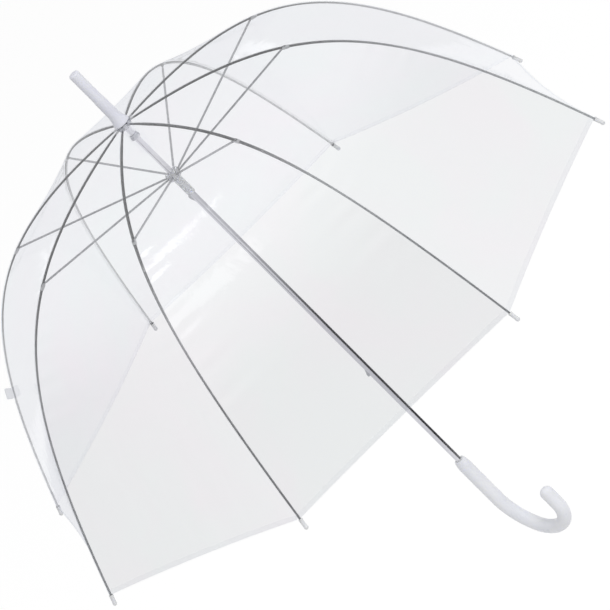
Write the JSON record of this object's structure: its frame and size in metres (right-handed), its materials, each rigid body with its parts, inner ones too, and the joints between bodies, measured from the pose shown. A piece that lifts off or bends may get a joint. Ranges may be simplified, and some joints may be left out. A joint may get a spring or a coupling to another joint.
{
  "type": "umbrella",
  "caption": "Clear dome umbrella, open, with folding ribs, sliding runner, spring catches and a crook handle.",
  "frame": {"origin": "middle of the hand's grip on the straight part of the handle, on the shaft's axis", "axes": "+Z along the shaft towards the ferrule; the crook points 54 degrees clockwise of +X seen from the ferrule; rib 1 is 22.5 degrees clockwise of +X"},
  "size_m": [0.826, 0.826, 0.8658],
  "materials": {
    "rib_steel": "zinc-plated pressed steel",
    "wire_steel": "drawn wire",
    "spring_steel": "spring steel leaf",
    "shaft_chrome": "chromed steel tube",
    "handle_plastic": "smooth bluish white",
    "ferrule_plastic": "smooth white",
    "cap_plastic": "smooth white",
    "grey_plastic": "light grey moulded",
    "milky_plastic": "translucent white",
    "clear_film": "clear soft vinyl film",
    "clear_strap": "clear folded tape"
  },
  "bodies": {
    "frame": {"shaft": "shaft_chrome", "handle": "handle_plastic", "handle_collar": "grey_plastic", "ferrule": "ferrule_plastic", "crown_notch": "grey_plastic", "crown_wire": "wire_steel", "top_stop": "grey_plastic"},
    "rib_1_upper": {"rib_1_upper": "rib_steel"},
    "rib_1_lower": {"rib_1_lower": "rib_steel", "rib_1_tip": "cap_plastic"},
    "stretcher_1": {"stretcher_1": "rib_steel"},
    "rib_2_upper": {"rib_2_upper": "rib_steel"},
    "rib_2_lower": {"rib_2_lower": "rib_steel", "rib_2_tip": "cap_plastic"},
    "stretcher_2": {"stretcher_2": "rib_steel"},
    "rib_3_upper": {"rib_3_upper": "rib_steel"},
    "rib_3_lower": {"rib_3_lower": "rib_steel", "rib_3_tip": "cap_plastic"},
    "stretcher_3": {"stretcher_3": "rib_steel"},
    "rib_4_upper": {"rib_4_upper": "rib_steel"},
    "rib_4_lower": {"rib_4_lower": "rib_steel", "rib_4_tip": "cap_plastic"},
    "stretcher_4": {"stretcher_4": "rib_steel"},
    "rib_5_upper": {"rib_5_upper": "rib_steel"},
    "rib_5_lower": {"rib_5_lower": "rib_steel", "rib_5_tip": "cap_plastic", "closure_strap": "clear_strap"},
    "stretcher_5": {"stretcher_5": "rib_steel"},
    "rib_6_upper": {"rib_6_upper": "rib_steel"},
    "rib_6_lower": {"rib_6_lower": "rib_steel", "rib_6_tip": "cap_plastic"},
    "stretcher_6": {"stretcher_6": "rib_steel"},
    "rib_7_upper": {"rib_7_upper": "rib_steel"},
    "rib_7_lower": {"rib_7_lower": "rib_steel", "rib_7_tip": "cap_plastic"},
    "stretcher_7": {"stretcher_7": "rib_steel"},
    "rib_8_upper": {"rib_8_upper": "rib_steel"},
    "rib_8_lower": {"rib_8_lower": "rib_steel", "rib_8_tip": "cap_plastic"},
    "stretcher_8": {"stretcher_8": "rib_steel"},
    "runner": {"runner": "milky_plastic", "runner_wire": "wire_steel"},
    "gore_1_upper": {"gore_1_upper": "clear_film"},
    "gore_1_lower": {"gore_1_lower": "clear_film"},
    "gore_2_upper": {"gore_2_upper": "clear_film"},
    "gore_2_lower": {"gore_2_lower": "clear_film"},
    "gore_3_upper": {"gore_3_upper": "clear_film"},
    "gore_3_lower": {"gore_3_lower": "clear_film"},
    "gore_4_upper": {"gore_4_upper": "clear_film"},
    "gore_4_lower": {"gore_4_lower": "clear_film"},
    "gore_5_upper": {"gore_5_upper": "clear_film"},
    "gore_5_lower": {"gore_5_lower": "clear_film"},
    "gore_6_upper": {"gore_6_upper": "clear_film"},
    "gore_6_lower": {"gore_6_lower": "clear_film"},
    "gore_7_upper": {"gore_7_upper": "clear_film"},
    "gore_7_lower": {"gore_7_lower": "clear_film"},
    "gore_8_upper": {"gore_8_upper": "clear_film"},
    "gore_8_lower": {"gore_8_lower": "clear_film"},
    "upper_catch": {"upper_catch": "spring_steel"},
    "lower_catch": {"lower_catch": "spring_steel"}
  },
  "joints": [
    {"name": "canopy_fold", "type": "hinge", "parent": "frame", "child": "rib_1_upper", "pos_m": [0.00739, -0.00306, 0.672], "axis": [0.3827, 0.9239, 0], "range_deg": [0, 75.4]},
    {"name": "rib_1_bend", "type": "hinge", "parent": "rib_1_upper", "child": "rib_1_lower", "pos_m": [0.20102, -0.08326, 0.62709], "axis": [-0.3827, -0.9239, 0], "range_deg": [0, 39.8]},
    {"name": "stretcher_1_rivet", "type": "hinge", "parent": "rib_1_upper", "child": "stretcher_1", "pos_m": [0.20102, -0.08326, 0.62709], "axis": [-0.3827, -0.9239, 0], "range_deg": [0, 150.8]},
    {"name": "rib_2_fold", "type": "hinge", "parent": "frame", "child": "rib_2_upper", "pos_m": [0.00306, -0.00739, 0.672], "axis": [0.9239, 0.3827, 0], "range_deg": [0, 75.4]},
    {"name": "rib_2_bend", "type": "hinge", "parent": "rib_2_upper", "child": "rib_2_lower", "pos_m": [0.08326, -0.20102, 0.62709], "axis": [-0.9239, -0.3827, 0], "range_deg": [0, 39.8]},
    {"name": "stretcher_2_rivet", "type": "hinge", "parent": "rib_2_upper", "child": "stretcher_2", "pos_m": [0.08326, -0.20102, 0.62709], "axis": [-0.9239, -0.3827, 0], "range_deg": [0, 150.8]},
    {"name": "rib_3_fold", "type": "hinge", "parent": "frame", "child": "rib_3_upper", "pos_m": [-0.00306, -0.00739, 0.672], "axis": [0.9239, -0.3827, 0], "range_deg": [0, 75.4]},
    {"name": "rib_3_bend", "type": "hinge", "parent": "rib_3_upper", "child": "rib_3_lower", "pos_m": [-0.08326, -0.20102, 0.62709], "axis": [-0.9239, 0.3827, 0], "range_deg": [0, 39.8]},
    {"name": "stretcher_3_rivet", "type": "hinge", "parent": "rib_3_upper", "child": "stretcher_3", "pos_m": [-0.08326, -0.20102, 0.62709], "axis": [-0.9239, 0.3827, 0], "range_deg": [0, 150.8]},
    {"name": "rib_4_fold", "type": "hinge", "parent": "frame", "child": "rib_4_upper", "pos_m": [-0.00739, -0.00306, 0.672], "axis": [0.3827, -0.9239, 0], "range_deg": [0, 75.4]},
    {"name": "rib_4_bend", "type": "hinge", "parent": "rib_4_upper", "child": "rib_4_lower", "pos_m": [-0.20102, -0.08326, 0.62709], "axis": [-0.3827, 0.9239, 0], "range_deg": [0, 39.8]},
    {"name": "stretcher_4_rivet", "type": "hinge", "parent": "rib_4_upper", "child": "stretcher_4", "pos_m": [-0.20102, -0.08326, 0.62709], "axis": [-0.3827, 0.9239, 0], "range_deg": [0, 150.8]},
    {"name": "rib_5_fold", "type": "hinge", "parent": "frame", "child": "rib_5_upper", "pos_m": [-0.00739, 0.00306, 0.672], "axis": [-0.3827, -0.9239, 0], "range_deg": [0, 75.4]},
    {"name": "rib_5_bend", "type": "hinge", "parent": "rib_5_upper", "child": "rib_5_lower", "pos_m": [-0.20102, 0.08326, 0.62709], "axis": [0.3827, 0.9239, 0], "range_deg": [0, 39.8]},
    {"name": "stretcher_5_rivet", "type": "hinge", "parent": "rib_5_upper", "child": "stretcher_5", "pos_m": [-0.20102, 0.08326, 0.62709], "axis": [0.3827, 0.9239, 0], "range_deg": [0, 150.8]},
    {"name": "rib_6_fold", "type": "hinge", "parent": "frame", "child": "rib_6_upper", "pos_m": [-0.00306, 0.00739, 0.672], "axis": [-0.9239, -0.3827, 0], "range_deg": [0, 75.4]},
    {"name": "rib_6_bend", "type": "hinge", "parent": "rib_6_upper", "child": "rib_6_lower", "pos_m": [-0.08326, 0.20102, 0.62709], "axis": [0.9239, 0.3827, 0], "range_deg": [0, 39.8]},
    {"name": "stretcher_6_rivet", "type": "hinge", "parent": "rib_6_upper", "child": "stretcher_6", "pos_m": [-0.08326, 0.20102, 0.62709], "axis": [0.9239, 0.3827, 0], "range_deg": [0, 150.8]},
    {"name": "rib_7_fold", "type": "hinge", "parent": "frame", "child": "rib_7_upper", "pos_m": [0.00306, 0.00739, 0.672], "axis": [-0.9239, 0.3827, 0], "range_deg": [0, 75.4]},
    {"name": "rib_7_bend", "type": "hinge", "parent": "rib_7_upper", "child": "rib_7_lower", "pos_m": [0.08326, 0.20102, 0.62709], "axis": [0.9239, -0.3827, 0], "range_deg": [0, 39.8]},
    {"name": "stretcher_7_rivet", "type": "hinge", "parent": "rib_7_upper", "child": "stretcher_7", "pos_m": [0.08326, 0.20102, 0.62709], "axis": [0.9239, -0.3827, 0], "range_deg": [0, 150.8]},
    {"name": "rib_8_fold", "type": "hinge", "parent": "frame", "child": "rib_8_upper", "pos_m": [0.00739, 0.00306, 0.672], "axis": [-0.3827, 0.9239, 0], "range_deg": [0, 75.4]},
    {"name": "rib_8_bend", "type": "hinge", "parent": "rib_8_upper", "child": "rib_8_lower", "pos_m": [0.20102, 0.08326, 0.62709], "axis": [0.3827, -0.9239, 0], "range_deg": [0, 39.8]},
    {"name": "stretcher_8_rivet", "type": "hinge", "parent": "rib_8_upper", "child": "stretcher_8", "pos_m": [0.20102, 0.08326, 0.62709], "axis": [0.3827, -0.9239, 0], "range_deg": [0, 150.8]},
    {"name": "runner_pivot", "type": "hinge", "parent": "stretcher_1", "child": "runner", "pos_m": [0.00739, -0.00306, 0.58219], "axis": [0.3827, 0.9239, 0], "range_deg": [0, 75.4]},
    {"name": "gore_1_fold", "type": "hinge", "parent": "frame", "child": "gore_1_upper", "pos_m": [0.00523, -0.00523, 0.672], "axis": [0.7071, 0.7071, 0], "range_deg": [0, 75.4], "deforming": ["gore_1_upper"]},
    {"name": "gore_1_bend", "type": "hinge", "parent": "gore_1_upper", "child": "gore_1_lower", "pos_m": [0.14214, -0.14214, 0.62709], "axis": [-0.7071, -0.7071, 0], "range_deg": [0, 39.8], "deforming": ["gore_1_lower"]},
    {"name": "gore_2_fold", "type": "hinge", "parent": "frame", "child": "gore_2_upper", "pos_m": [0, -0.00739, 0.672], "axis": [1, 0, 0], "range_deg": [0, 75.4], "deforming": ["gore_2_upper"]},
    {"name": "gore_2_bend", "type": "hinge", "parent": "gore_2_upper", "child": "gore_2_lower", "pos_m": [0, -0.20102, 0.62709], "axis": [-1, 0, 0], "range_deg": [0, 39.8], "deforming": ["gore_2_lower"]},
    {"name": "gore_3_fold", "type": "hinge", "parent": "frame", "child": "gore_3_upper", "pos_m": [-0.00523, -0.00523, 0.672], "axis": [0.7071, -0.7071, 0], "range_deg": [0, 75.4], "deforming": ["gore_3_upper"]},
    {"name": "gore_3_bend", "type": "hinge", "parent": "gore_3_upper", "child": "gore_3_lower", "pos_m": [-0.14214, -0.14214, 0.62709], "axis": [-0.7071, 0.7071, 0], "range_deg": [0, 39.8], "deforming": ["gore_3_lower"]},
    {"name": "gore_4_fold", "type": "hinge", "parent": "frame", "child": "gore_4_upper", "pos_m": [-0.00739, 0, 0.672], "axis": [0, -1, 0], "range_deg": [0, 75.4], "deforming": ["gore_4_upper"]},
    {"name": "gore_4_bend", "type": "hinge", "parent": "gore_4_upper", "child": "gore_4_lower", "pos_m": [-0.20102, 0, 0.62709], "axis": [0, 1, 0], "range_deg": [0, 39.8], "deforming": ["gore_4_lower"]},
    {"name": "gore_5_fold", "type": "hinge", "parent": "frame", "child": "gore_5_upper", "pos_m": [-0.00523, 0.00523, 0.672], "axis": [-0.7071, -0.7071, 0], "range_deg": [0, 75.4], "deforming": ["gore_5_upper"]},
    {"name": "gore_5_bend", "type": "hinge", "parent": "gore_5_upper", "child": "gore_5_lower", "pos_m": [-0.14214, 0.14214, 0.62709], "axis": [0.7071, 0.7071, 0], "range_deg": [0, 39.8], "deforming": ["gore_5_lower"]},
    {"name": "gore_6_fold", "type": "hinge", "parent": "frame", "child": "gore_6_upper", "pos_m": [0, 0.00739, 0.672], "axis": [-1, 0, 0], "range_deg": [0, 75.4], "deforming": ["gore_6_upper"]},
    {"name": "gore_6_bend", "type": "hinge", "parent": "gore_6_upper", "child": "gore_6_lower", "pos_m": [0, 0.20102, 0.62709], "axis": [1, 0, 0], "range_deg": [0, 39.8], "deforming": ["gore_6_lower"]},
    {"name": "gore_7_fold", "type": "hinge", "parent": "frame", "child": "gore_7_upper", "pos_m": [0.00523, 0.00523, 0.672], "axis": [-0.7071, 0.7071, 0], "range_deg": [0, 75.4], "deforming": ["gore_7_upper"]},
    {"name": "gore_7_bend", "type": "hinge", "parent": "gore_7_upper", "child": "gore_7_lower", "pos_m": [0.14214, 0.14214, 0.62709], "axis": [0.7071, -0.7071, 0], "range_deg": [0, 39.8], "deforming": ["gore_7_lower"]},
    {"name": "gore_8_fold", "type": "hinge", "parent": "frame", "child": "gore_8_upper", "pos_m": [0.00739, 0, 0.672], "axis": [0, 1, 0], "range_deg": [0, 75.4], "deforming": ["gore_8_upper"]},
    {"name": "gore_8_bend", "type": "hinge", "parent": "gore_8_upper", "child": "gore_8_lower", "pos_m": [0.20102, 0, 0.62709], "axis": [0, -1, 0], "range_deg": [0, 39.8], "deforming": ["gore_8_lower"]},
    {"name": "upper_catch_press", "type": "slide", "parent": "frame", "child": "upper_catch", "axis": [1, 0, 0], "range_m": [0, 0.003], "stiffness_N_per_m": 1500, "springref_m": -0.001},
    {"name": "lower_catch_press", "type": "slide", "parent": "frame", "child": "lower_catch", "axis": [1, 0, 0], "range_m": [0, 0.003], "stiffness_N_per_m": 1500, "springref_m": -0.001}
  ],
  "couplings": [
    {"joint": "rib_1_bend", "follows": "canopy_fold", "ratio": 0.52785},
    {"joint": "stretcher_1_rivet", "follows": "canopy_fold", "ratio": 2},
    {"joint": "rib_2_fold", "follows": "canopy_fold", "ratio": 1},
    {"joint": "rib_2_bend", "follows": "canopy_fold", "ratio": 0.52785},
    {"joint": "stretcher_2_rivet", "follows": "canopy_fold", "ratio": 2},
    {"joint": "rib_3_fold", "follows": "canopy_fold", "ratio": 1},
    {"joint": "rib_3_bend", "follows": "canopy_fold", "ratio": 0.52785},
    {"joint": "stretcher_3_rivet", "follows": "canopy_fold", "ratio": 2},
    {"joint": "rib_4_fold", "follows": "canopy_fold", "ratio": 1},
    {"joint": "rib_4_bend", "follows": "canopy_fold", "ratio": 0.52785},
    {"joint": "stretcher_4_rivet", "follows": "canopy_fold", "ratio": 2},
    {"joint": "rib_5_fold", "follows": "canopy_fold", "ratio": 1},
    {"joint": "rib_5_bend", "follows": "canopy_fold", "ratio": 0.52785},
    {"joint": "stretcher_5_rivet", "follows": "canopy_fold", "ratio": 2},
    {"joint": "rib_6_fold", "follows": "canopy_fold", "ratio": 1},
    {"joint": "rib_6_bend", "follows": "canopy_fold", "ratio": 0.52785},
    {"joint": "stretcher_6_rivet", "follows": "canopy_fold", "ratio": 2},
    {"joint": "rib_7_fold", "follows": "canopy_fold", "ratio": 1},
    {"joint": "rib_7_bend", "follows": "canopy_fold", "ratio": 0.52785},
    {"joint": "stretcher_7_rivet", "follows": "canopy_fold", "ratio": 2},
    {"joint": "rib_8_fold", "follows": "canopy_fold", "ratio": 1},
    {"joint": "rib_8_bend", "follows": "canopy_fold", "ratio": 0.52785},
    {"joint": "stretcher_8_rivet", "follows": "canopy_fold", "ratio": 2},
    {"joint": "runner_pivot", "follows": "canopy_fold", "ratio": 1},
    {"joint": "gore_1_fold", "follows": "canopy_fold", "ratio": 1},
    {"joint": "gore_1_bend", "follows": "canopy_fold", "ratio": 0.52785},
    {"joint": "gore_2_fold", "follows": "canopy_fold", "ratio": 1},
    {"joint": "gore_2_bend", "follows": "canopy_fold", "ratio": 0.52785},
    {"joint": "gore_3_fold", "follows": "canopy_fold", "ratio": 1},
    {"joint": "gore_3_bend", "follows": "canopy_fold", "ratio": 0.52785},
    {"joint": "gore_4_fold", "follows": "canopy_fold", "ratio": 1},
    {"joint": "gore_4_bend", "follows": "canopy_fold", "ratio": 0.52785},
    {"joint": "gore_5_fold", "follows": "canopy_fold", "ratio": 1},
    {"joint": "gore_5_bend", "follows": "canopy_fold", "ratio": 0.52785},
    {"joint": "gore_6_fold", "follows": "canopy_fold", "ratio": 1},
    {"joint": "gore_6_bend", "follows": "canopy_fold", "ratio": 0.52785},
    {"joint": "gore_7_fold", "follows": "canopy_fold", "ratio": 1},
    {"joint": "gore_7_bend", "follows": "canopy_fold", "ratio": 0.52785},
    {"joint": "gore_8_fold", "follows": "canopy_fold", "ratio": 1},
    {"joint": "gore_8_bend", "follows": "canopy_fold", "ratio": 0.52785}
  ]
}
